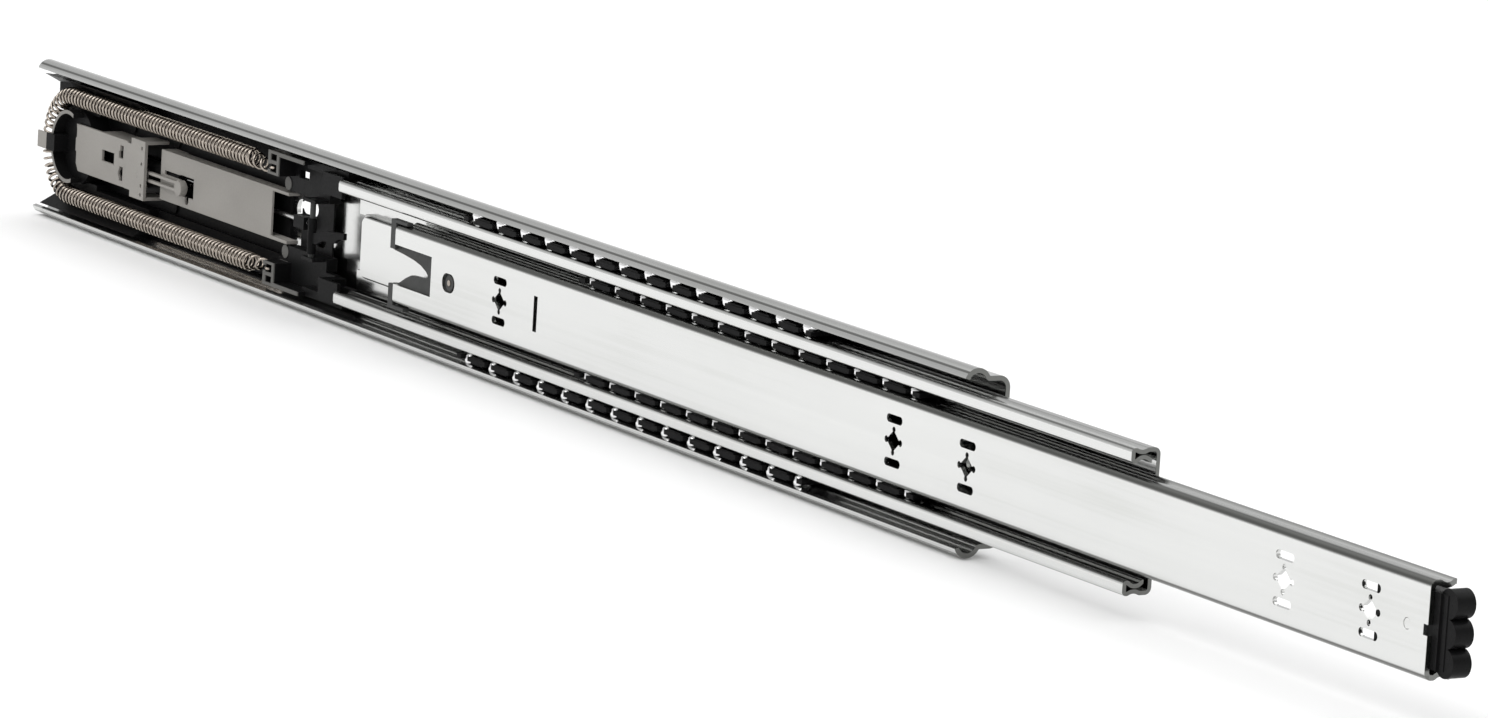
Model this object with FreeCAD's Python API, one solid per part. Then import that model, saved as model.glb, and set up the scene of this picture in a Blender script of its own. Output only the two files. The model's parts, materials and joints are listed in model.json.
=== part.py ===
import FreeCAD, Part
import math
import os
from FreeCAD import Vector as V

# Side-mounted full-extension cabinet drawer slide with a soft-close unit.
# Frame: +X is the opening direction, X = 0 at the rear end of the outer member;
# y = 0 is the face that lies on the cabinet wall and -Y points to the drawer;
# +Z is up and z = 0 is the mid-height. All three members are drawn partly open.

# ---- driving dimensions, mm -------------------------------------------------
LENGTH = 500.0            # outer member, nominal size of the slide
HALF_H = 22.5             # half of the overall height of 45
T_OUT = 1.2               # sheet of the outer member
T_MID = 1.0               # sheet of the intermediate member
T_IN = 1.2                # sheet of the inner member
FIT = 0.05                # radial clearance of the ball races and bores

BALL_OUT_R = 2.38         # 3/16 inch balls
BALL_OUT_Y, BALL_OUT_Z = -9.0, 18.87
BALL_OUT_X0, BALL_OUT_PITCH, BALL_OUT_N = 260.7, 12.72, 14
BALL_IN_R = 1.985         # 5/32 inch balls
BALL_IN_Y, BALL_IN_Z = -8.7, 12.2
BALL_IN_X0, BALL_IN_PITCH, BALL_IN_N = 321.5, 12.74, 13

MID_X0, MID_X1 = 187.0, 569.0      # intermediate member, as drawn
MID_WEB_Y = -5.2                   # front face of its web
MID_TOP_Z = 16.9                   # outer surface of its flange
MID_FRONT_Y = -12.0                # front face of its folded lip
MID_LEG_Z = 13.35                  # inner surface of its return leg

IN_X0, IN_X1 = 222.0, 684.5        # inner member, as drawn
IN_FACE_Y = -13.0                  # face that lies on the drawer side
IN_FLAT_Z = 9.1                    # flat part of its web
IN_END_Y = -6.35                   # edge of its flanges

CAB_HOLES = [207.0, 335.0, 463.0]  # round screw holes, 37 mm from the front, pitch 4 x 32
CAB_HOLE_R = 2.3
CROSS_HOLES = [279.5, 471.5, 503.5, 631.5, 663.5]   # hole groups of the inner member
SLOT_Z = 5.2                       # rows of horizontal screw slots above and below
SLOT_L, SLOT_H = 6.9, 2.0

STROKE = 69.0                      # travel of the soft-close carriage
CAR_X0, CAR_X1 = 148.0, 186.7      # carriage, armed
ROD_Y, ROD_R = -3.95, 0.8          # damper axis, on z = 0
CYL_R, BORE_R = 2.3, 1.9
CYL_X0, CYL_X1 = 5.0, 80.5

SPRING_Y, SPRING_Z, SPRING_R = -9.55, 14.4, 2.75
SPRING_X1 = 133.5                  # end of the close-wound turns, spring drawn out
LOOP_X = 19.5                      # centre of the loop round the rear post


# ---- helpers ----------------------------------------------------------------
def box(x0, x1, y0, y1, z0, z1):
    x0, x1 = sorted((x0, x1))
    y0, y1 = sorted((y0, y1))
    z0, z1 = sorted((z0, z1))
    return Part.makeBox(x1 - x0, y1 - y0, z1 - z0, V(x0, y0, z0))


def cyl_x(x0, x1, y, z, r):
    return Part.makeCylinder(r, abs(x1 - x0), V(min(x0, x1), y, z), V(1, 0, 0))


def cyl_y(x, z, y0, y1, r):
    return Part.makeCylinder(r, abs(y1 - y0), V(x, min(y0, y1), z), V(0, 1, 0))


def cyl_z(x, y, z0, z1, r):
    return Part.makeCylinder(r, abs(z1 - z0), V(x, y, min(z0, z1)), V(0, 0, 1))


def prism_x(points, x0, x1):
    """closed outline of (y, z) points, extruded from x0 to x1"""
    w = Part.makePolygon([V(x0, y, z) for y, z in points + points[:1]])
    return Part.Face(w).extrude(V(x1 - x0, 0, 0))


def prism_y(points, y0, y1):
    """closed outline of (x, z) points, extruded from y0 to y1"""
    w = Part.makePolygon([V(x, y0, z) for x, z in points + points[:1]])
    return Part.Face(w).extrude(V(0, y1 - y0, 0))


def fuse(items):
    s = items[0]
    if len(items) > 1:
        s = s.multiFuse(items[1:])
    return s.removeSplitter()


def cut(s, tools):
    return s.cut(tools if isinstance(tools, list) else [tools])


def mirror_z(s):
    return s.mirror(V(0, 0, 0), V(0, 0, 1))


def both(s):
    return [s, mirror_z(s)]


def solid(s):
    sol = s.Solids
    assert len(sol) == 1, "expected one solid, got %d" % len(sol)
    assert sol[0].isValid()
    return sol[0]


def stadium(x, z, length, height, y0, y1):
    """rounded slot with its long side along X"""
    r = height / 2.0
    d = length / 2.0 - r
    return fuse([box(x - d, x + d, y0, y1, z - r, z + r),
                 cyl_y(x - d, z, y0, y1, r), cyl_y(x + d, z, y0, y1, r)])


def sheet(start, heading, moves, t, x0, x1):
    """bent sheet: centre line of straight runs ("L", length) and bends
    ("A", radius, signed degrees), drawn in the YZ plane and extruded along X"""
    y, z = start
    a = math.radians(heading)
    left, right = [], []
    h = t / 2.0

    def off(py, pz, ang, s):
        return V(x0, py - s * math.sin(ang), pz + s * math.cos(ang))

    for m in moves:
        if m[0] == "L":
            y2, z2 = y + m[1] * math.cos(a), z + m[1] * math.sin(a)
            left.append(Part.LineSegment(off(y, z, a, h), off(y2, z2, a, h)).toShape())
            right.append(Part.LineSegment(off(y, z, a, -h), off(y2, z2, a, -h)).toShape())
            y, z = y2, z2
        else:
            r, da = m[1], math.radians(m[2])
            s = 1.0 if da > 0 else -1.0
            cy, cz = y - s * r * math.sin(a), z + s * r * math.cos(a)

            def at(f):
                b = a + da * f
                return cy + s * r * math.sin(b), cz - s * r * math.cos(b), b
            p0, p1, p2 = at(0.0), at(0.5), at(1.0)
            for lst, k in ((left, h), (right, -h)):
                lst.append(Part.Arc(off(p0[0], p0[1], p0[2], k), off(p1[0], p1[1], p1[2], k),
                                    off(p2[0], p2[1], p2[2], k)).toShape())
            y, z, a = p2
    ends = [Part.LineSegment(right[0].Vertexes[0].Point, left[0].Vertexes[0].Point).toShape(),
            Part.LineSegment(left[-1].Vertexes[1].Point, right[-1].Vertexes[1].Point).toShape()]
    edges = Part.sortEdges(left + right + ends)[0]
    face = Part.Face(Part.Wire(edges))
    return face.extrude(V(x1 - x0, 0, 0)), (y, z, math.degrees(a))


def save(name, shape):
    shape.exportStep("parts/%s.step" % name)
    print(name, "solids", len(shape.Solids), "volume", round(shape.Volume, 1),
          "valid", shape.isValid())


os.makedirs("parts", exist_ok=True)
P = {}

# ---- outer member -----------------------------------------------------------
# web, flange at z = 20.5, concave bend, then the race round the outer balls and
# the lip that turns in to z = 20
race_r = BALL_OUT_R + FIT + T_OUT / 2
flange_z = 20.5 - T_OUT / 2
rf = 0.9
dzc = flange_z + rf - BALL_OUT_Z
ang = math.degrees(math.asin(dzc / (race_r + rf)))
yc = BALL_OUT_Y + math.sqrt((race_r + rf) ** 2 - dzc ** 2)
rb = 2.4
up = flange_z - rb
flat = (-T_OUT / 2 - rb) - yc
top, end = sheet((-T_OUT / 2, 0.0), 90,
                 [("L", up), ("A", rb, 90), ("L", flat), ("A", rf, -(90 - ang)),
                  ("A", race_r, 160 - ang)], T_OUT, 0.0, LENGTH)
print("outer lip end", end)
outer = fuse(both(top))
holes = [cyl_y(x, 0, 1, -3, CAB_HOLE_R) for x in CAB_HOLES]
# access hole and slot seen through the carriage, and slots between the round holes
holes += [stadium(149.8, 1.9, 13.0, 5.8, 1, -3), stadium(147.0, 11.4, 8.0, 2.6, 1, -3)]
holes += [stadium(x, 0, 9.0, 4.6, 1, -3) for x in (239.0, 303.0, 399.0)]
outer = cut(outer, holes)

# ---- intermediate member ----------------------------------------------------
rb = 1.2
gr = BALL_OUT_R + FIT + T_MID / 2
rf = 0.8
top_z = MID_TOP_Z - T_MID / 2
depth = MID_TOP_Z - (BALL_OUT_Z - BALL_OUT_R - FIT)
th = math.degrees(math.acos(1 - depth / (gr + rf)))
hw = (gr + rf) * math.sin(math.radians(th))
web_y = MID_WEB_Y + T_MID / 2
fold = 0.55
gr2 = BALL_IN_R + FIT + T_MID / 2
rf2 = 0.6
depth2 = (BALL_IN_Z + BALL_IN_R + FIT) - MID_LEG_Z
th2 = math.degrees(math.acos(1 - depth2 / (gr2 + rf2)))
hw2 = (gr2 + rf2) * math.sin(math.radians(th2))
leg_z = MID_LEG_Z + T_MID / 2
front = MID_FRONT_Y + T_MID / 2
moves = [("L", top_z - rb), ("A", rb, 90),
         ("L", (web_y - rb) - (BALL_OUT_Y + hw)),
         ("A", rf, th), ("A", gr, -2 * th), ("A", rf, th),
         ("L", (BALL_OUT_Y - hw) - (front + fold)),
         ("A", fold, 90), ("L", (top_z - fold) - (leg_z + fold)), ("A", fold, 90),
         ("L", (BALL_IN_Y - hw2) - (front + fold)),
         ("A", rf2, th2), ("A", gr2, -2 * th2), ("A", rf2, th2), ("L", 0.1)]
print("mid runs", [round(m[1], 2) for m in moves if m[0] == "L"])
top, end = sheet((web_y, 0.0), 90, moves, T_MID, MID_X0, MID_X1)
print("mid leg end", end)
mid = fuse(both(top))
# the web is raised into a channel that clears the damper housing when closed,
# and is notched behind the channel
CH_X0, CH_X1 = 193.5, 335.0
CH_Z, CH_Y, CH_T = 8.5, -8.2, 0.9
mid = cut(mid, [box(MID_X0 - 1, CH_X1 - CH_T, -3.5, -6, -(CH_Z - CH_T), CH_Z - CH_T)])
chan = box(CH_X0, CH_X1, CH_Y, MID_WEB_Y + 0.6, -CH_Z, CH_Z)
rim = [e for e in chan.Edges
       if all(abs(v.Y - CH_Y) < 1e-6 for v in e.Vertexes)]
vert = [e for e in chan.Edges
        if abs(e.Vertexes[0].Y - e.Vertexes[1].Y) > 1 and e.Vertexes[0].X > CH_X0 + 1]
chan = chan.makeFillet(0.7, rim)
chan = cut(chan, [box(CH_X0 - 1, CH_X1 - CH_T, CH_Y + CH_T, -3, -(CH_Z - CH_T), CH_Z - CH_T)])
# rounded rear corners of the channel roof
for s in (1, -1):
    corner = cut(box(CH_X0 - 1, CH_X0 + 4.0, CH_Y - 1, CH_Y + CH_T + 0.4, s * (CH_Z - 4.0), s * (CH_Z + 1)),
                 cyl_y(CH_X0 + 4.0, s * (CH_Z - 4.0), CH_Y - 2, CH_Y + 3, 4.0))
    chan = cut(chan, corner)
mid = fuse([mid, chan])
mid = cut(mid, [cyl_y(x, 0, -3, -7, 4.0) for x in (367.0, 431.0, 495.0)]
          + [stadium(548.0, 0, 14.0, 7.0, -3, -7)])

# ---- inner member -----------------------------------------------------------
rb = 1.2
gr = BALL_IN_R + FIT + T_IN / 2
rf = 0.8
fl_z = IN_FLAT_Z + rb + T_IN / 2           # outer surface of the flange
depth = fl_z - (BALL_IN_Z - BALL_IN_R - FIT)
th = math.degrees(math.acos(1 - depth / (gr + rf)))
hw = (gr + rf) * math.sin(math.radians(th))
wy = IN_FACE_Y + T_IN / 2
moves = [("L", IN_FLAT_Z), ("A", rb, -90),
         ("L", (BALL_IN_Y - hw) - (wy + rb)),
         ("A", rf, -th), ("A", gr, 2 * th), ("A", rf, -th),
         ("L", IN_END_Y - (BALL_IN_Y + hw))]
print("inner runs", [round(m[1], 2) for m in moves if m[0] == "L"], "flange", fl_z)
top, end = sheet((wy, 0.0), 90, moves, T_IN, IN_X0, IN_X1)
inner = fuse(both(top))
y0, y1 = IN_FACE_Y - 1, IN_FACE_Y + T_IN + 0.4
# notch between the two rear arms, where the release lever lies
inner = cut(inner, [box(IN_X0 - 1, 242.4, y0, y1, -5.3, 5.3)])
tools = [stadium(252.0, 0.0, 6.8, 5.0, y0, y1)]
for x in CROSS_HOLES:
    tools += [stadium(x, SLOT_Z, SLOT_L, SLOT_H, y0, y1),
              stadium(x, -SLOT_Z, SLOT_L, SLOT_H, y0, y1)]
    # cross-shaped hole: a diamond with four round lobes
    tools += [prism_y([(x - 3.0, 0), (x, -2.6), (x + 3.0, 0), (x, 2.6)], y0, y1),
              cyl_y(x - 3.1, 0, y0, y1, 0.8), cyl_y(x + 3.1, 0, y0, y1, 0.8),
              cyl_y(x, 2.75, y0, y1, 0.7), cyl_y(x, -2.75, y0, y1, 0.7)]
# lanced slit with the pressed-out rib beside it
tools += [box(297.5, 299.4, y0, y1, -4.6, 4.6)]
tools += [cyl_y(677.0, 0, y0, y1, 1.3)]
# small notch in the front edge
tools += [box(IN_X1 - 1.6, IN_X1 + 1, y0, y1, -1.2, 1.2)]
inner = cut(inner, tools)
rib = Part.makeCylinder(0.9, 9.0, V(296.9, IN_FACE_Y + T_IN + 0.2, -4.5), V(0, 0, 1))
rib = rib.common(box(295, 297.5, IN_FACE_Y + T_IN - 0.3, IN_FACE_Y + 3, -5, 5))
inner = fuse([inner, rib])

# ---- ball retainers and balls -----------------------------------------------
xs_out = [BALL_OUT_X0 + BALL_OUT_PITCH * i for i in range(BALL_OUT_N)]
xs_in = [BALL_IN_X0 + BALL_IN_PITCH * i for i in range(BALL_IN_N)]
OC_X0, OC_X1 = 256.5, 430.2
arm = box(OC_X0, OC_X1, -2.3, -11.9, 17.5, 18.7)
web = box(OC_X0, OC_X1, -2.3, -3.0, -18.7, 18.7)
ocage = fuse(both(arm) + [web])
ocage = cut(ocage, [box(OC_X0 + 7, OC_X1 - 7, -2, -3.4, -12.5, 12.5)])
# raised pads between the balls; the front of each ball stays free
ocage = fuse([ocage] + [q for x in xs_out[:-1] for q in
                        both(box(x + 3.2, x + BALL_OUT_PITCH - 3.2, -9.9, -11.7, 17.15, 19.15))])
ocage = cut(ocage, [cyl_z(x, BALL_OUT_Y, -20, 20, BALL_OUT_R + FIT) for x in xs_out]
            + [box(x - 1.7, x + 1.7, -10.0, -12.5, -20, 20) for x in xs_out])
IC_X0, IC_X1 = 317.0, 479.0
arm = box(IC_X0, IC_X1, -5.45, -11.35, 11.5, 12.7)
web = box(400.0, IC_X1, -5.45, -6.05, -12.7, 12.7)
icage = fuse(both(arm) + [web])
icage = cut(icage, [box(408.0, IC_X1 - 8, -5, -6.5, -8.0, 8.0)])
icage = fuse([icage] + [q for x in xs_in[:-1] for q in
                        both(box(x + 3.0, x + BALL_IN_PITCH - 3.0, -9.4, -11.1, 11.2, 13.1))])
icage = cut(icage, [cyl_z(x, BALL_IN_Y, -14, 14, BALL_IN_R + FIT) for x in xs_in]
            + [box(x - 1.5, x + 1.5, -9.5, -12.0, -14, 14) for x in xs_in])


def row(xs, y, z, r):
    return Part.makeCompound([Part.makeSphere(r, V(x, y, z)) for x in xs])


# ---- bumper and release lever on the inner member ---------------------------
b = [box(664.0, 686.5, -11.75, -6.7, -8.4, 8.4), box(684.7, 688.4, -11.2, -6.2, -8.2, 8.2)]
b += [cyl_y(688.4, z, -11.0, -6.2, 3.25) for z in (6.4, 0.0, -6.4)]
bumper = fuse(b)
bumper = cut(bumper, [box(668.0, 681.0, -10.4, -6, -5.6, 5.6), cyl_y(677.0, 0, -14, -5, 1.25),
                      box(683.0, 684.7, -13.2, -11.75, -9, 9)])
bumper_rivet = fuse([cyl_y(677.0, 0, -12.9, -9.6, 1.25), cyl_y(677.0, 0, -10.4, -9.6, 2.2)])

LEV_PX, LEV_PZ = 252.0, 0.0
# plate behind the web; it shows in the notch and past the ends of the two arms
lever = prism_y([(219.4, 7.6), (262.0, 6.9), (262.0, -7.3), (219.4, -7.8), (219.4, -5.4),
                 (221.9, -5.2), (223.5, -4.6), (226.5, -3.0), (229.5, -1.8), (233.5, -1.6), (237.0, -1.4),
                 (238.3, -0.9), (238.4, -0.3), (237.3, 0.5), (234.5, 1.6), (230.5, 2.4), (225.0, 3.0),
                 (219.4, 3.4)], -11.75, -10.5)
lever = fuse([lever, cyl_y(LEV_PX, LEV_PZ, -12.7, -11.75, 2.1)])
lever = cut(lever, [cyl_y(LEV_PX, LEV_PZ, -14, -10, 0.85)])

# spring-steel strap behind the web that carries the lever's pivot
strap = fuse([cyl_y(LEV_PX, LEV_PZ, -12.9, -10.2, 0.8), box(250.4, 270.0, -10.45, -10.15, -2.4, 2.4),
              box(266.0, 270.0, -11.8, -10.15, -2.4, 2.4)])

# caps on the rear ends of the two arms, hooked over the flanges
caps = []
for s, z0 in ((1, 3.9), (-1, 5.4)):
    caps.append(fuse([box(219.2, 221.95, IN_FACE_Y + 0.05, -11.85, s * z0, s * 11.8),
                      box(219.2, 228.0, IN_FACE_Y + 0.05, -11.0, s * 10.95, s * 11.8)]))

# ---- soft-close unit: fixed pieces ------------------------------------------
floor = box(3.0, 142.0, -1.2, -2.4, -17.4, 17.4)
floor = cut(floor, [box(0, 82.0, -1.0, -2.6, -2.7, 2.7)])
low = box(64.0, 142.0, -2.4, -3.9, 11.4, 18.6)
tall = prism_x([(-2.4, 18.6), (-2.4, 11.4), (-6.7, 11.4), (-6.7, 16.3), (-11.6, 18.9),
                (-11.6, 18.95), (-9.0, 18.6)], 3.0, 64.0)
post = cyl_y(LOOP_X, 0, -2.4, -8.3, 10.9).common(box(0, 34.0, 0, -14, -12, 12))
# mast inside the spring guide, with a head that reaches over it
mast = fuse([box(10.6, 13.6, -8.3, -12.9, -2.4, 2.4), box(8.4, 13.6, -11.9, -12.9, -2.4, 2.4)])
rest = box(4.0, 30.0, -2.4, -6.7, -11.4, 11.4)
rest = cut(rest, [box(12.0, 31.0, -2, -8, -9.9, 9.9)])
rest = rest.common(cyl_y(LOOP_X, 0, 0, -14, 16.0))
housing = fuse([floor] + both(low) + both(tall) + [post, mast, rest])
housing = cut(housing, [cyl_x(0, 40, ROD_Y, 0, CYL_R + FIT), box(0, 40, -1.0, -2.6, -2.7, 2.7)])
# windows that let the cabinet screws of the rear fixing through
housing = cut(housing, [cyl_y(119.0, 0, 0, -4, 4.0)])
clip = box(2.6, 8.4, -12.95, -12.4, -2.4, 2.4)
ring = cut(cyl_y(LOOP_X, 0, -8.3, -11.8, 10.5), [cyl_y(LOOP_X, 0, -7, -12, 9.4)])
ring = ring.common(box(0, 23.0, 0, -14, -12, 12))
guide = ring
RIVETS = [(44.0, 9.3), (44.0, -9.3), (72.0, 9.3), (72.0, -9.3)]
housing = cut(housing, [cyl_y(x, z, 0, -3, 1.4) for x, z in RIVETS])
outer = cut(outer, [cyl_y(x, z, 1, -3, 1.4) for x, z in RIVETS])
rivets = Part.makeCompound([fuse([cyl_y(x, z, 0, -2.4, 1.4), cyl_y(x, z, -2.4, -3.0, 1.9)])
                            for x, z in RIVETS])

cover = box(19.6, 54.0, -9.3, -8.4, -6.8, 6.8)
cover = fuse([cover, box(36.0, 54.0, -9.3, -2.4, 5.9, 6.8), box(36.0, 54.0, -9.3, -2.4, -6.8, -5.9)])
cover = cut(cover, [box(37.6, 45.4, -10, -8, -1.3, 1.9),
                    box(48.4, 51.2, -10, -8, 1.2, 3.2), box(49.2, 51.2, -10, -8, 1.2, 4.9),
                    cyl_y(49.6, -3.2, -10, -8, 1.3), box(49.0, 51.2, -10, -8, -5.2, -1.2),
                    prism_y([(19, -7), (22.4, -7), (20.8, -4.6), (20.8, -1.4), (20.2, -1.0), (20.2, 2.6),
                             (20.8, 3.0), (20.8, 5.2), (20.4, 7), (19, 7)], -10, -8)])
bracket = fuse([box(54.2, 66.2, -9.9, -9.3, -6.6, 6.6), box(57.4, 66.2, -9.9, -9.0, -8.4, 8.4)]
               + both(box(58.0, 66.2, -9.9, -2.4, 7.5, 8.4)) + both(box(54.2, 57.4, -9.9, -8.4, 3.2, 4.6)))
bracket = cut(bracket, [cyl_y(64.2, z, -11, -8.5, 0.55) for z in (6.2, 1.8, -4.4, -7.0)])

dh = [box(70.9, 139.4, -7.0, -6.3, -7.1, 7.1)]
dh += both(box(70.9, 149.0, -7.0, -3.4, 6.2, 7.1)) + both(box(70.9, 79.0, -7.0, -2.4, 6.2, 7.1))
damper_housing = fuse(dh)
TRIG_X, TRIG_Z = 62.0, -1.6        # pivot of the trigger arm, under the bracket
kidney = fuse([box(83.0, 91.6, -8, -5.5, -4.0, 1.7), box(73.4, 84.0, -8, -5.5, 0.3, 1.5),
               cyl_y(87.6, -5.0, -8, -5.5, 1.1), box(86.5, 88.7, -8, -5.5, -5.0, -3.4)])
damper_housing = cut(damper_housing, [kidney])
trigger_pin = cyl_y(TRIG_X, TRIG_Z, -9.9, -7.15, 0.8)
bracket = cut(bracket, [cyl_y(TRIG_X, TRIG_Z, -11, -8, 0.8)])
arm = [cyl_y(TRIG_X, TRIG_Z, -7.2, -8.7, 2.0),
       box(TRIG_X, 85.0, -7.2, -8.4, TRIG_Z + 0.7, TRIG_Z + 1.5),
       box(TRIG_X, 85.0, -7.2, -8.4, TRIG_Z - 1.5, TRIG_Z - 0.7),
       cyl_y(86.2, TRIG_Z, -7.2, -9.3, 2.2), cyl_y(86.2, TRIG_Z, -6.4, -7.2, 0.9)]
trigger_arm = cut(fuse(arm), [cyl_y(TRIG_X, TRIG_Z, -10, -6, 0.85)])

cylinder = cut(cyl_x(CYL_X0, CYL_X1, ROD_Y, 0, CYL_R),
               [cyl_x(CYL_X0 + 1.0, CYL_X1 + 1, ROD_Y, 0, BORE_R)])
end_cap = cut(cyl_x(CYL_X1 - 1.5, CYL_X1, ROD_Y, 0, BORE_R),
              [cyl_x(CYL_X1 - 3, CYL_X1 + 1, ROD_Y, 0, ROD_R + FIT)])
piston = cut(cyl_x(75.6, 78.6, ROD_Y, 0, BORE_R - FIT), [cyl_x(77.0, 80, ROD_Y, 0, ROD_R)])

ring_face = Part.makeFace([Part.Wire(Part.makeCircle(SPRING_R, V(LOOP_X, SPRING_Y, SPRING_Z), V(1, 0, 0))),
                           Part.Wire(Part.makeCircle(SPRING_R - 0.7, V(LOOP_X, SPRING_Y, SPRING_Z), V(1, 0, 0)))],
                          "Part::FaceMakerBullseye")
leg = ring_face.extrude(V(SPRING_X1 - LOOP_X, 0, 0))
bend = ring_face.revolve(V(LOOP_X, SPRING_Y, 0), V(0, 1, 0), -180.0)
# open hooks at both ends
hk = fuse([box(SPRING_X1 - 1.0, 147.0, SPRING_Y - 2.6, SPRING_Y - 2.05, SPRING_Z - 0.8, SPRING_Z - 0.2),
           box(146.4, 147.0, SPRING_Y - 2.3, SPRING_Y + 0.6, SPRING_Z - 0.8, SPRING_Z - 0.2)])
spring = fuse(both(leg) + [bend] + both(hk))

# ---- soft-close carriage ----------------------------------------------------
c = [box(150.0, 168.4, -2.6, -3.1, -7.6, 7.6)]
c += both(box(CAR_X0, 171.0, -2.6, -6.0, 7.5, 11.2))
c += both(box(143.0, 176.4, -4.2, -6.0, 11.2, 17.6)) + both(box(176.4, CAR_X1, -4.2, -6.0, 13.4, 17.6))
c += both(cyl_y(146.8, 9.4, -2.7, -6.2, 1.85))
# slotted tabs that hold the spring hooks
tab = box(144.2, 150.6, -4.2, -11.4, 12.0, 18.5)
tab = cut(tab, [box(145.7, 149.3, -8.2, -12, 12.7, 14.9), box(145.7, 149.3, -8.2, -12, 15.9, 17.7),
                box(143.0, 146.0, -10.9, -12.5, 13.2, 14.7)])
c += both(tab)
# guide shoes beside the outer races
c += both(box(150.0, 165.0, -4.2, -11.4, 17.4, 18.5))
c += both(box(163.0, CAR_X1, -4.2, -9.0, 16.2, 18.5))
# upper and lower feet behind the intermediate member
c += both(box(175.6, 179.6, -4.2, -10.8, 11.5, 17.4)) + both(box(179.6, CAR_X1, -9.7, -10.8, 11.5, 17.4))
# lug for the damper rod, runs inside the damper housing
c += [box(150.0, 156.0, -3.1, -5.7, -2.0, 1.5)]
# ears that carry the catch finger
c += both(box(163.8, 170.2, -6.0, -10.0, 7.5, 8.4))
carriage = fuse(c)
CAT_X, CAT_Y = 167.0, -8.8         # pivot of the catch finger
carriage = cut(carriage, [cyl_z(CAT_X, CAT_Y, -9, 9, 0.8), cyl_x(149, 157, ROD_Y, 0, ROD_R),
                          stadium(154.6, 3.9, 9.6, 4.2, -2, -3.3), box(153.0, 158.6, -3.9, -7, 12.0, 14.2),
                          stadium(161.5, -4.0, 6.0, 4.0, -2, -4)])
rod = cyl_x(77.0, 156.0, ROD_Y, 0, ROD_R)
catch_pin = cyl_z(CAT_X, CAT_Y, -8.4, 8.4, 0.8)
fing = fuse([cyl_z(CAT_X, CAT_Y, -6.6, 3.2, 1.2),
             prism_y([(166.4, -3.6), (166.4, -1.0), (169.0, -0.6), (176.0, 1.1), (186.0, 2.0), (186.0, 0.2),
                      (182.5, -0.2), (180.5, -1.6), (174.0, -2.0), (170.0, -3.6)], -9.2, -8.2)])
catch_finger = cut(fing, [cyl_z(CAT_X, CAT_Y, -10, 10, 0.85)])

# ---- write ------------------------------------------------------------------
P["outer_member"] = solid(outer)
P["intermediate_member"] = solid(mid)
P["inner_member"] = solid(inner)
P["outer_ball_retainer"] = solid(ocage)
P["inner_ball_retainer"] = solid(icage)
P["outer_balls_upper"] = row(xs_out, BALL_OUT_Y, BALL_OUT_Z, BALL_OUT_R)
P["outer_balls_lower"] = row(xs_out, BALL_OUT_Y, -BALL_OUT_Z, BALL_OUT_R)
P["inner_balls_upper"] = row(xs_in, BALL_IN_Y, BALL_IN_Z, BALL_IN_R)
P["inner_balls_lower"] = row(xs_in, BALL_IN_Y, -BALL_IN_Z, BALL_IN_R)
P["front_bumper"] = solid(bumper)
P["bumper_rivet"] = solid(bumper_rivet)
P["release_lever"] = solid(lever)
P["lever_pivot_strap"] = solid(strap)
P["arm_end_caps"] = Part.makeCompound([solid(x) for x in caps])
P["mechanism_housing"] = solid(housing)
P["spring_guide"] = solid(guide)
P["spring_clip"] = solid(clip)
P["housing_rivets"] = rivets
P["rear_cover"] = solid(cover)
P["cover_bracket"] = solid(bracket)
P["damper_housing"] = solid(damper_housing)
P["damper_cylinder"] = solid(cylinder)
P["damper_end_cap"] = solid(end_cap)
P["damper_piston"] = solid(piston)
P["piston_rod"] = solid(rod)
P["trigger_arm"] = solid(trigger_arm)
P["trigger_pivot_pin"] = solid(trigger_pin)
P["return_spring"] = solid(spring)
P["slider_carriage"] = solid(carriage)
P["catch_finger"] = solid(catch_finger)
P["catch_pin"] = solid(catch_pin)
for name, shape in P.items():
    save(name, shape)
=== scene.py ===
import bpy, bmesh, json, math, random
from mathutils import Matrix, Vector


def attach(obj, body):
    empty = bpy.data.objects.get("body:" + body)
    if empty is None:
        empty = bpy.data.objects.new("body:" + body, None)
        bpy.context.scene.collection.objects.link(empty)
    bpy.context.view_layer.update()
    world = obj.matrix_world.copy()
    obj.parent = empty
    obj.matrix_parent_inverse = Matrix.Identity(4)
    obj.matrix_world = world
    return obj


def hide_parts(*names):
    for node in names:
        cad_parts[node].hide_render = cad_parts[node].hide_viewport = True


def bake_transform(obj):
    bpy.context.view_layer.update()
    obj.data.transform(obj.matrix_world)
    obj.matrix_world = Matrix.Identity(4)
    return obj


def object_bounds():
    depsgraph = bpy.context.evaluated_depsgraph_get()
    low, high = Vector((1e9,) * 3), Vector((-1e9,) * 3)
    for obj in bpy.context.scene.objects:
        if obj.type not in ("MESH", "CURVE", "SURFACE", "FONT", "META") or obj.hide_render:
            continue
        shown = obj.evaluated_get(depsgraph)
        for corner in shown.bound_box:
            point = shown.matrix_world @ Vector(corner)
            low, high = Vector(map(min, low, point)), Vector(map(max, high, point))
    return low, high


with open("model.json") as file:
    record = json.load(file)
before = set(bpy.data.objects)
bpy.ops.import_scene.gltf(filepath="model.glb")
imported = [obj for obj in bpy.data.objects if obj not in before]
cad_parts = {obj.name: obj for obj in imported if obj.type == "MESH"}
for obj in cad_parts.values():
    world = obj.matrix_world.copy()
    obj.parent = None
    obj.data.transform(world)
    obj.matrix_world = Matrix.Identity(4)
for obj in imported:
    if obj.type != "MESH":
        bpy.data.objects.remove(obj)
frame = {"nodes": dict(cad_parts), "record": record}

cad_lo, cad_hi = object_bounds()
random.seed(7)
N = frame["nodes"]
MM = 0.001


# ------------------------------------------------------------------ materials
def new_mat(name):
    m = bpy.data.materials.new(name)
    m.use_nodes = True
    t = m.node_tree
    return m, t, t.nodes, t.links, t.nodes["Principled BSDF"]


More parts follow.
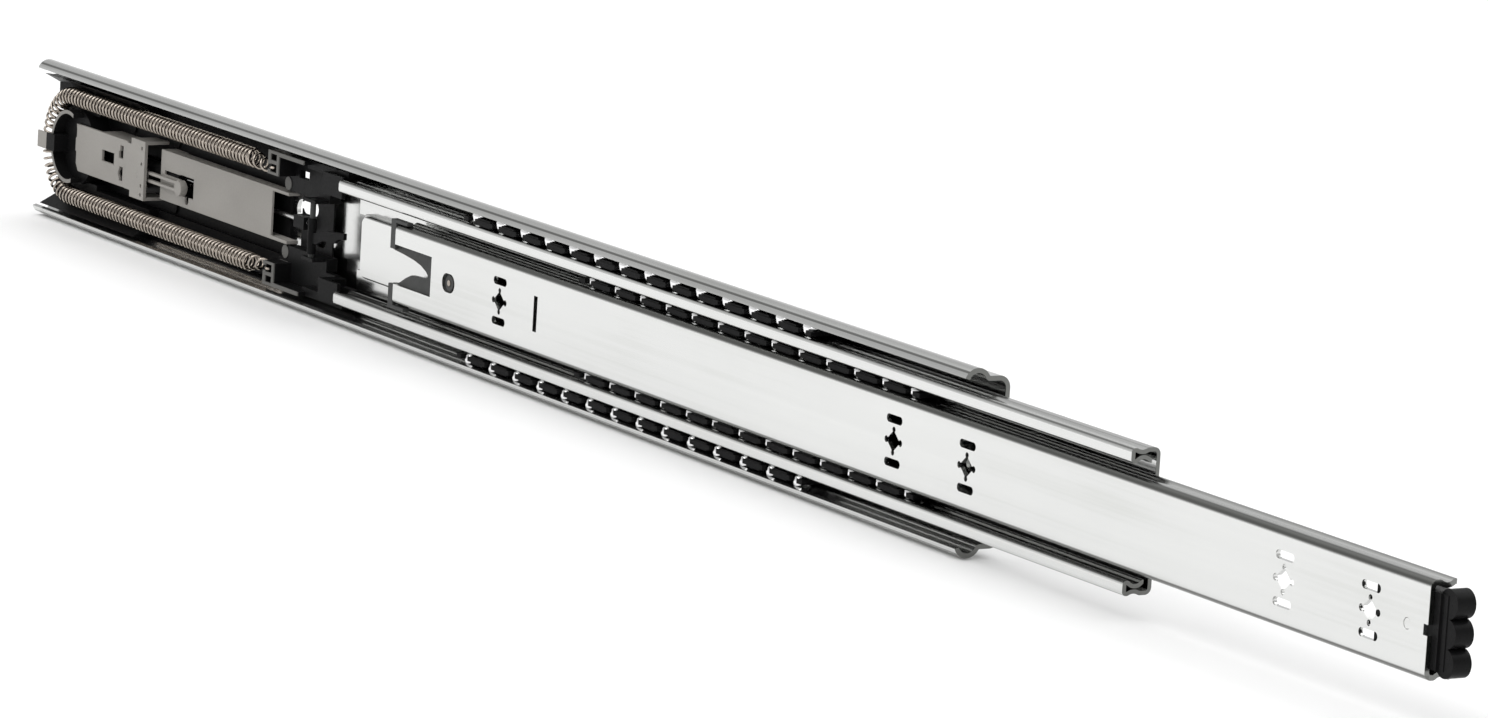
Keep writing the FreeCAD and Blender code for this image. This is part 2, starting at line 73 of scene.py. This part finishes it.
def add(nodes, kind, **kw):
    n = nodes.new(kind)
    for k, v in kw.items():
        setattr(n, k, v)
    return n


def mapping(t, scale):
    tc = add(t.nodes, "ShaderNodeTexCoord")
    mp = add(t.nodes, "ShaderNodeMapping")
    mp.inputs["Scale"].default_value = scale
    t.links.new(tc.outputs["Object"], mp.inputs["Vector"])
    return mp


def ramp(t, fac, stops):
    r = add(t.nodes, "ShaderNodeValToRGB")
    e = r.color_ramp.elements
    while len(e) < len(stops):
        e.new(0.5)
    for el, (p, c) in zip(e, stops):
        el.position = p
        el.color = (*c, 1.0) if len(c) == 3 else c
    t.links.new(fac, r.inputs["Fac"])
    return r


def noise(t, scale, size, detail=3.0, rough=0.5):
    n = add(t.nodes, "ShaderNodeTexNoise")
    n.inputs["Scale"].default_value = size
    n.inputs["Detail"].default_value = detail
    n.inputs["Roughness"].default_value = rough
    t.links.new(mapping(t, scale).outputs["Vector"], n.inputs["Vector"])
    return n


def map_range(t, val, a, b, c, d):
    m = add(t.nodes, "ShaderNodeMapRange")
    m.inputs["From Min"].default_value = a
    m.inputs["From Max"].default_value = b
    m.inputs["To Min"].default_value = c
    m.inputs["To Max"].default_value = d
    t.links.new(val, m.inputs["Value"])
    return m


def step(t, val, a, b):
    """smooth 0 to 1 between a and b (b may be below a)"""
    m = add(t.nodes, "ShaderNodeMapRange", interpolation_type="SMOOTHSTEP")
    m.clamp = True
    lo_, hi_, r0, r1 = (a, b, 0.0, 1.0) if a < b else (b, a, 1.0, 0.0)
    m.inputs["From Min"].default_value = lo_
    m.inputs["From Max"].default_value = hi_
    m.inputs["To Min"].default_value = r0
    m.inputs["To Max"].default_value = r1
    t.links.new(val, m.inputs["Value"])
    return m.outputs["Result"]


def combine(t, a, b, op="MULTIPLY"):
    n = add(t.nodes, "ShaderNodeMath", operation=op)
    for i, v in enumerate((a, b)):
        if isinstance(v, (int, float)):
            n.inputs[i].default_value = v
        else:
            t.links.new(v, n.inputs[i])
    return n.outputs["Value"]


def shade_of(t, painted_shade_zones):
    """painted shade mask: largest of several zones; a zone is a list of (axis, from, to) steps in
    mm and a strength; axis Z is taken as distance from the mid-height"""
    tc = add(t.nodes, "ShaderNodeTexCoord")
    sp = add(t.nodes, "ShaderNodeSeparateXYZ")
    t.links.new(tc.outputs["Object"], sp.inputs[0])
    az = add(t.nodes, "ShaderNodeMath", operation="ABSOLUTE")
    t.links.new(sp.outputs["Z"], az.inputs[0])
    sock = {"X": sp.outputs["X"], "Y": sp.outputs["Y"], "Z": az.outputs["Value"]}
    total = None
    for steps, strength in painted_shade_zones:
        z = None
        for axis, a, b in steps:
            f = step(t, sock[axis], a * MM, b * MM)
            z = f if z is None else combine(t, z, f)
        z = combine(t, z, strength)
        total = z if total is None else combine(t, total, z, "MAXIMUM")
    return total


def zinc(name, base=(0.69, 0.695, 0.685), dark=(0.62, 0.627, 0.61), rough=(0.13, 0.24), painted_shade_zones=None,
         shadow=(0.060, 0.062, 0.055)):
    """bright zinc plating on rolled strip: fine lines along X, faint clouding"""
    m, t, nodes, links, b = new_mat(name)
    lines = noise(t, (3.0, 900.0, 900.0), 1.0, 4.0, 0.55)
    cloud = noise(t, (14.0, 60.0, 60.0), 1.0, 3.0, 0.5)
    spangle = add(nodes, "ShaderNodeTexVoronoi")
    spangle.inputs["Scale"].default_value = 1.0
    links.new(mapping(t, (700.0, 900.0, 900.0)).outputs["Vector"], spangle.inputs["Vector"])
    mix = add(nodes, "ShaderNodeMath", operation="ADD")
    s1 = map_range(t, lines.outputs["Fac"], 0.3, 0.7, 0.0, 0.45)
    s2 = map_range(t, cloud.outputs["Fac"], 0.3, 0.7, 0.0, 0.55)
    links.new(s1.outputs["Result"], mix.inputs[0])
    links.new(s2.outputs["Result"], mix.inputs[1])
    col = ramp(t, mix.outputs["Value"], [(0.0, dark), (0.45, base), (1.0, tuple(min(1.0, c * 1.06) for c in base))])
    out = col.outputs["Color"]
    if painted_shade_zones:
        # painted shade: bends and race recesses darkened by position in place of occlusion and dark reflections; the
        # cut end faces are darkened the same way
        mx = add(nodes, "ShaderNodeMix", data_type="RGBA")
        links.new(shade_of(t, painted_shade_zones), mx.inputs["Factor"])
        links.new(out, mx.inputs["A"])
        mx.inputs["B"].default_value = (*shadow, 1.0)
        out = mx.outputs["Result"]
    links.new(out, b.inputs["Base Color"])
    b.inputs["Metallic"].default_value = 1.0
    r = map_range(t, mix.outputs["Value"], 0.1, 0.9, rough[0], rough[1])
    links.new(r.outputs["Result"], b.inputs["Roughness"])
    bump = add(nodes, "ShaderNodeBump")
    bump.inputs["Strength"].default_value = 0.10
    bump.inputs["Distance"].default_value = 0.00005
    hm = add(nodes, "ShaderNodeMath", operation="MULTIPLY_ADD")
    hm.inputs[1].default_value = 0.25
    links.new(spangle.outputs["Distance"], hm.inputs[0])
    links.new(lines.outputs["Fac"], hm.inputs[2])
    links.new(hm.outputs["Value"], bump.inputs["Height"])
    links.new(bump.outputs["Normal"], b.inputs["Normal"])
    return m


def plastic(name, base, light, rough=(0.34, 0.52), grain=1400.0, bump_s=0.25, spec=0.3, mask=None, face=None):
    """moulded plastic: fine spark-eroded grain, faint flow variation"""
    m, t, nodes, links, b = new_mat(name)
    flow = noise(t, (40.0, 90.0, 90.0), 1.0, 3.0, 0.5)
    grain_n = noise(t, (grain, grain, grain), 1.0, 2.0, 0.6)
    col = ramp(t, flow.outputs["Fac"], [(0.3, base), (0.75, light)])
    out = col.outputs["Color"]
    if mask:
        # front faces given a paler colour than the rest of the moulding
        col2 = ramp(t, flow.outputs["Fac"], [(0.3, face), (0.75, tuple(c * 1.18 for c in face))])
        mix = add(nodes, "ShaderNodeMix", data_type="RGBA")
        links.new(mask(t), mix.inputs["Factor"])
        links.new(out, mix.inputs["A"])
        links.new(col2.outputs["Color"], mix.inputs["B"])
        out = mix.outputs["Result"]
    links.new(out, b.inputs["Base Color"])
    b.inputs["Specular IOR Level"].default_value = spec
    r = map_range(t, grain_n.outputs["Fac"], 0.3, 0.7, rough[0], rough[1])
    links.new(r.outputs["Result"], b.inputs["Roughness"])
    bump = add(nodes, "ShaderNodeBump")
    bump.inputs["Strength"].default_value = bump_s
    bump.inputs["Distance"].default_value = 0.00008
    links.new(grain_n.outputs["Fac"], bump.inputs["Height"])
    links.new(bump.outputs["Normal"], b.inputs["Normal"])
    return m


def xyz(t):
    tc = add(t.nodes, "ShaderNodeTexCoord")
    sp = add(t.nodes, "ShaderNodeSeparateXYZ")
    t.links.new(tc.outputs["Object"], sp.inputs[0])
    return sp


def front_of(y):
    """mask: parts of a moulding further to the front than y, metres"""
    def f(t):
        n = add(t.nodes, "ShaderNodeMath", operation="LESS_THAN")
        n.inputs[1].default_value = y
        t.links.new(xyz(t).outputs["Y"], n.inputs[0])
        return n.outputs["Value"]
    return f


def carriage_mask(t):
    """front faces of the hook tabs and of the two small bosses"""
    c = xyz(t)
    def lt(sock, v):
        n = add(t.nodes, "ShaderNodeMath", operation="LESS_THAN")
        t.links.new(c.outputs[sock], n.inputs[0])
        n.inputs[1].default_value = v
        return n.outputs["Value"]
    def both_of(a, b, op="MULTIPLY"):
        n = add(t.nodes, "ShaderNodeMath", operation=op)
        t.links.new(a, n.inputs[0])
        t.links.new(b, n.inputs[1])
        return n.outputs["Value"]
    tabs = lt("Y", -0.0110)
    boss = both_of(lt("X", 0.14875), both_of(lt("Y", -0.00602), lt("Y", -0.00640), "SUBTRACT"))
    return both_of(tabs, boss, "MAXIMUM")


def wire_steel(name, base, dark, rough=(0.22, 0.4)):
    m, t, nodes, links, b = new_mat(name)
    n = noise(t, (260.0, 260.0, 260.0), 1.0, 4.0, 0.6)
    col = ramp(t, n.outputs["Fac"], [(0.3, dark), (0.65, base)])
    links.new(col.outputs["Color"], b.inputs["Base Color"])
    b.inputs["Metallic"].default_value = 1.0
    r = map_range(t, n.outputs["Fac"], 0.3, 0.7, rough[0], rough[1])
    links.new(r.outputs["Result"], b.inputs["Roughness"])
    return m


ZINC = zinc("zinc_plated_steel")
# painted shade: the zone lists below darken bends, race recesses and cut ends of the three members by position
ZINC_OUT = zinc("zinc_outer", painted_shade_zones=[
    ([("X", 499.90, 499.97)], 0.85),
    ([("X", 0.10, 0.03)], 0.6),
    ([("Y", -10.4, -10.9), ("Z", 21.15, 21.35), ("Z", 21.8, 21.6)], 0.75)])
ZINC_MID = zinc("zinc_intermediate", painted_shade_zones=[
    ([("X", 568.90, 568.97)], 0.85),
    ([("Z", 16.45, 16.62), ("Y", -11.2, -11.5)], 0.80),
    ([("Z", 13.95, 13.75), ("Z", 13.0, 13.2), ("Y", -11.3, -11.6)], 0.85),
    ([("Y", -11.5, -11.1), ("Y", -5.4, -6.2), ("Z", 11.8, 12.6), ("Z", 15.6, 15.0)], 0.72),
    ([("Z", 13.6, 15.2), ("Y", -8.4, -7.2)], 0.35),
    ([("Z", 7.75, 8.1), ("Z", 8.9, 8.62), ("Y", -6.2, -7.2), ("X", 334.0, 330.0)], 0.62),
    ([("X", 193.95, 193.7), ("Y", -6.9, -7.3), ("Z", 8.6, 8.5)], 0.75)])
ZINC_IN = zinc("zinc_inner", painted_shade_zones=[
    ([("X", 684.38, 684.46)], 0.80),
    ([("Z", 9.35, 9.85), ("Z", 10.93, 10.80), ("Y", -11.3, -11.8)], 0.86),
    ([("Z", 10.2, 10.7), ("Y", -12.1, -11.5)], 0.42)])
BALL = wire_steel("ball_steel", (0.92, 0.92, 0.92), (0.82, 0.82, 0.83), (0.05, 0.12))
GREY = plastic("grey_plastic", (0.262, 0.250, 0.232), (0.300, 0.287, 0.267), (0.42, 0.58), spec=0.18)
BLACK = plastic("black_plastic", (0.0060, 0.0060, 0.0062), (0.0095, 0.0095, 0.0098), (0.30, 0.46), spec=0.035)
BUMPER = plastic("bumper_plastic", (0.0060, 0.0060, 0.0062), (0.0095, 0.0095, 0.0098), (0.26, 0.40), spec=0.07)
DARK = plastic("dark_grey_plastic", (0.043, 0.044, 0.043), (0.058, 0.059, 0.058), (0.34, 0.48), spec=0.10)
CARR = plastic("carriage_plastic", (0.0060, 0.0060, 0.0062), (0.0100, 0.0100, 0.0103), (0.28, 0.44), spec=0.045,
               mask=carriage_mask, face=(0.120, 0.118, 0.112))
RING = plastic("guide_plastic", (0.0075, 0.0075, 0.0075), (0.0110, 0.0110, 0.0110), (0.32, 0.48), spec=0.04,
               mask=front_of(-0.01172), face=(0.210, 0.203, 0.190))
SPRING = wire_steel("spring_wire", (0.50, 0.445, 0.39), (0.30, 0.265, 0.23), (0.10, 0.20))
ROD = wire_steel("ground_steel", (0.62, 0.62, 0.62), (0.50, 0.50, 0.50), (0.12, 0.26))

SLOT_MAT = {
    "zinc_steel": ZINC, "ball_steel": BALL, "black_plastic": BLACK,
    "grey_plastic": GREY, "spring_steel": SPRING, "damper_steel": ROD,
}
slot_of = {s["node"]: s["material_slot"] for s in frame["record"]["subparts"]}
NODE_MAT = {"outer_member": ZINC_OUT, "intermediate_member": ZINC_MID, "inner_member": ZINC_IN,
            "release_lever": DARK, "arm_end_caps": DARK, "front_bumper": BUMPER, "slider_carriage": CARR,
            "spring_guide": RING, "housing_rivets": BLACK, "catch_pin": DARK, "trigger_pivot_pin": GREY}

for name, o in N.items():
    o.data.materials.clear()
    o.data.materials.append(NODE_MAT.get(name) or SLOT_MAT[slot_of[name]])


def soften(o, width, segments=2, angle=28.0):
    """welds the tessellated faces and rounds the sharp edges a little"""
    w = o.modifiers.new("weld", "WELD")
    w.merge_threshold = 1e-6
    d = o.modifiers.new("planar", "DECIMATE")
    d.decimate_type = "DISSOLVE"
    d.angle_limit = math.radians(0.4)
    b = o.modifiers.new("bevel", "BEVEL")
    b.width = width
    b.segments = segments
    b.limit_method = "ANGLE"
    b.angle_limit = math.radians(angle)
    b.harden_normals = False
    b.use_clamp_overlap = True
    for p in o.data.polygons:
        p.use_smooth = True
    n = o.modifiers.new("normals", "WEIGHTED_NORMAL")
    n.keep_sharp = True


BEVEL = {
    "outer_member": 0.14, "intermediate_member": 0.10, "inner_member": 0.14,
    "front_bumper": 0.45, "release_lever": 0.15, "mechanism_housing": 0.22,
    "slider_carriage": 0.22, "rear_cover": 0.15, "cover_bracket": 0.18,
    "damper_housing": 0.15, "spring_guide": 0.12, "spring_clip": 0.12, "trigger_arm": 0.15,
    "catch_finger": 0.15, "outer_ball_retainer": 0.12, "inner_ball_retainer": 0.12,
    "housing_rivets": 0.15, "bumper_rivet": 0.15, "lever_pivot_strap": 0.05,
    "damper_cylinder": 0.1, "damper_end_cap": 0.05, "damper_piston": 0.05,
    "piston_rod": 0.05, "trigger_pivot_pin": 0.1, "catch_pin": 0.1, "arm_end_caps": 0.15,
}
for name, w in BEVEL.items():
    soften(N[name], w * MM)
for name in ("outer_balls_upper", "outer_balls_lower", "inner_balls_upper", "inner_balls_lower"):
    for p in N[name].data.polygons:
        p.use_smooth = True


# ------------------------------------------------------------------ mesh tools
def mesh_object(name, verts, faces, mat, body, smooth=True):
    me = bpy.data.meshes.new(name)
    me.from_pydata([Vector(v) for v in verts], [], faces)
    me.validate()
    me.update()
    for p in me.polygons:
        p.use_smooth = smooth
    o = bpy.data.objects.new(name, me)
    bpy.context.scene.collection.objects.link(o)
    me.materials.append(mat)
    if body:
        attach(o, body)
    return o


def tube(points, radius, sides=8, caps=True):
    """round wire along a polyline, with parallel-transported sections"""
    verts, faces = [], []
    pts = [Vector(p) for p in points]
    n = len(pts)
    tan = []
    for i in range(n):
        a, b = pts[max(0, i - 1)], pts[min(n - 1, i + 1)]
        tan.append((b - a).normalized())
    ref = Vector((0, 0, 1)) if abs(tan[0].z) < 0.9 else Vector((0, 1, 0))
    nor = (ref - tan[0] * ref.dot(tan[0])).normalized()
    for i in range(n):
        nor = (nor - tan[i] * nor.dot(tan[i])).normalized()
        bi = tan[i].cross(nor)
        for k in range(sides):
            a = 2 * math.pi * k / sides
            verts.append(pts[i] + (nor * math.cos(a) + bi * math.sin(a)) * radius)
    for i in range(n - 1):
        for k in range(sides):
            k2 = (k + 1) % sides
            faces.append((i * sides + k, i * sides + k2, (i + 1) * sides + k2, (i + 1) * sides + k))
    if caps:
        faces.append(tuple(reversed(range(sides))))
        faces.append(tuple((n - 1) * sides + k for k in range(sides)))
    return verts, faces


# ------------------------------------------------------------------ return spring
SY, SZ, LOOP_X = -9.55, 14.4, 19.5
WIRE_R = 0.37
COIL_R = 2.75 - WIRE_R - 0.02
X_END = 133.0
leg_len = X_END - LOOP_X
arc_len = math.pi * SZ
total = 2 * leg_len + arc_len


def spine(s):
    """point and in-plane normal along the spring's U-shaped axis"""
    if s < leg_len:
        x = X_END - s
        return Vector((x, SY, SZ)), Vector((-1, 0, 0)), Vector((0, 0, 1))
    s -= leg_len
    if s < arc_len:
        a = math.pi / 2 + s / SZ
        rad = Vector((math.cos(a), 0, math.sin(a)))
        return Vector((LOOP_X, SY, 0)) + rad * SZ, Vector((-math.sin(a), 0, math.cos(a))), rad
    s -= arc_len
    return Vector((LOOP_X + s, SY, -SZ)), Vector((1, 0, 0)), Vector((0, 0, -1))


PITCH = 2.04
turns = int(total / PITCH)
SEG = 16
coil = []
for i in range(turns * SEG + 1):
    s = total * i / (turns * SEG)
    c, tdir, rad = spine(s)
    th = 2 * math.pi * i / SEG
    out = Vector((0, -1, 0))
    coil.append(c + (rad * math.cos(th) + out * math.sin(th)) * COIL_R)


def hook(sgn):
    """three drawn-out turns that narrow, then a hook into the carriage tab"""
    h = []
    n = 44
    for k in range(1, n + 1):
        f = k / n
        th = 2 * math.pi * 2.75 * f
        r = COIL_R + (1.35 - COIL_R) * f
        x = X_END + 10.4 * (0.5 * f + 0.5 * f * f)
        z = SZ - 0.9 * f
        h.append(Vector((x, SY - 0.65 * f - math.sin(-th) * r * -1.0, sgn * (z + math.cos(th) * r))))
    e = h[-1]
    for k in range(1, 7):
        f = k / 6.0
        h.append(Vector((e.x + (147.4 - e.x) * f, e.y + (-11.75 - e.y) * math.sin(f * math.pi / 2),
                         e.z + (sgn * 13.95 - e.z) * f)))
    for k in range(1, 6):
        f = k / 5.0
        h.append(Vector((147.4 + 0.35 * math.sin(math.pi * f * 0.5), -11.75 + 2.6 * f, sgn * 13.95)))
    return h


upper = list(reversed(hook(1)))
lower = hook(-1)
path = upper + coil + lower
v, f = tube([p * MM for p in path], WIRE_R * MM, 8)
spring = mesh_object("return_spring_coil", v, f, SPRING, None)
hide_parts("return_spring")
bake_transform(spring)

# ------------------------------------------------------------------ floor, lights, camera
floor_z = cad_lo.z - 0.0004
me = bpy.data.meshes.new("floor")
bm = bmesh.new()
bmesh.ops.create_grid(bm, x_segments=8, y_segments=8, size=6.0)
bmesh.ops.translate(bm, vec=Vector((0.35, 0.0, floor_z)), verts=bm.verts)
bm.to_mesh(me)
bm.free()
floor = bpy.data.objects.new("floor", me)
bpy.context.scene.collection.objects.link(floor)
fm, ft, fn, fl, fb = new_mat("floor_paint")
nz = noise(ft, (2.0, 2.0, 2.0), 1.0, 2.0, 0.5)
fc = ramp(ft, nz.outputs["Fac"], [(0.3, (0.90, 0.90, 0.90)), (0.7, (0.93, 0.93, 0.93))])
fl.new(fc.outputs["Color"], fb.inputs["Base Color"])
fb.inputs["Roughness"].default_value = 0.75
fb.inputs["Specular IOR Level"].default_value = 0.2
me.materials.append(fm)

world = bpy.data.worlds.new("studio")
bpy.context.scene.world = world
world.use_nodes = True
wt = world.node_tree
bg = wt.nodes["Background"]
tc = wt.nodes.new("ShaderNodeTexCoord")
sep = wt.nodes.new("ShaderNodeSeparateXYZ")
wt.links.new(tc.outputs["Generated"], sep.inputs[0])
wr = wt.nodes.new("ShaderNodeValToRGB")
el = wr.color_ramp.elements
STOPS = [(0.0, 0.52), (0.06, 0.52), (0.15, 0.50), (0.28, 0.42), (0.40, 0.34), (0.52, 0.34), (0.62, 0.60), (0.74, 1.0)]
while len(el) < len(STOPS):
    el.new(0.5)
for e, (p, c) in zip(el, STOPS):
    e.position = p
    e.color = (c, c, c, 1)
wt.links.new(sep.outputs["Z"], wr.inputs["Fac"])
wt.links.new(wr.outputs["Color"], bg.inputs["Color"])
bg.inputs["Strength"].default_value = 1.5


def area(name, loc, target, size, power, shape="RECTANGLE", size_y=None):
    d = bpy.data.lights.new(name, "AREA")
    d.shape = shape
    d.size = size
    if size_y:
        d.size_y = size_y
    d.energy = power
    o = bpy.data.objects.new(name, d)
    o.location = loc
    o.rotation_mode = "QUATERNION"
    o.rotation_quaternion = (Vector(target) - Vector(loc)).to_track_quat("-Z", "Y")
    bpy.context.scene.collection.objects.link(o)
    return o


area("key", (0.1, -1.3, 1.5), (0.35, 0, 0), 1.4, 8.0, size_y=0.9)
area("rim", (0.6, 1.2, 1.1), (0.35, 0, 0), 1.6, 2.0, size_y=0.5)
area("fill", (1.7, -0.9, 0.5), (0.45, 0, 0), 0.7, 1.5, size_y=0.7)

F_PX = 7279.459
cam_loc = Vector((1888.293, -917.692, 309.594)) * MM
ROT = ((0.51012535, -0.17756255, 0.84157214), (0.85802600, 0.03714860, -0.51226103), (0.05969515, 0.98340812, 0.17130373))
cam_data = bpy.data.cameras.new("camera")
cam_data.sensor_fit = "HORIZONTAL"
cam_data.sensor_width = 36.0
cam_data.lens = F_PX * 36.0 / 1488.0
cam_data.clip_start = 0.05
cam_data.clip_end = 50.0
cam = bpy.data.objects.new("camera", cam_data)
cam.matrix_world = Matrix.Translation(cam_loc) @ Matrix(ROT).to_4x4()
bpy.context.scene.collection.objects.link(cam)
bpy.context.scene.camera = cam
bpy.context.scene.view_settings.view_transform = "Standard"

bpy.context.view_layer.update()
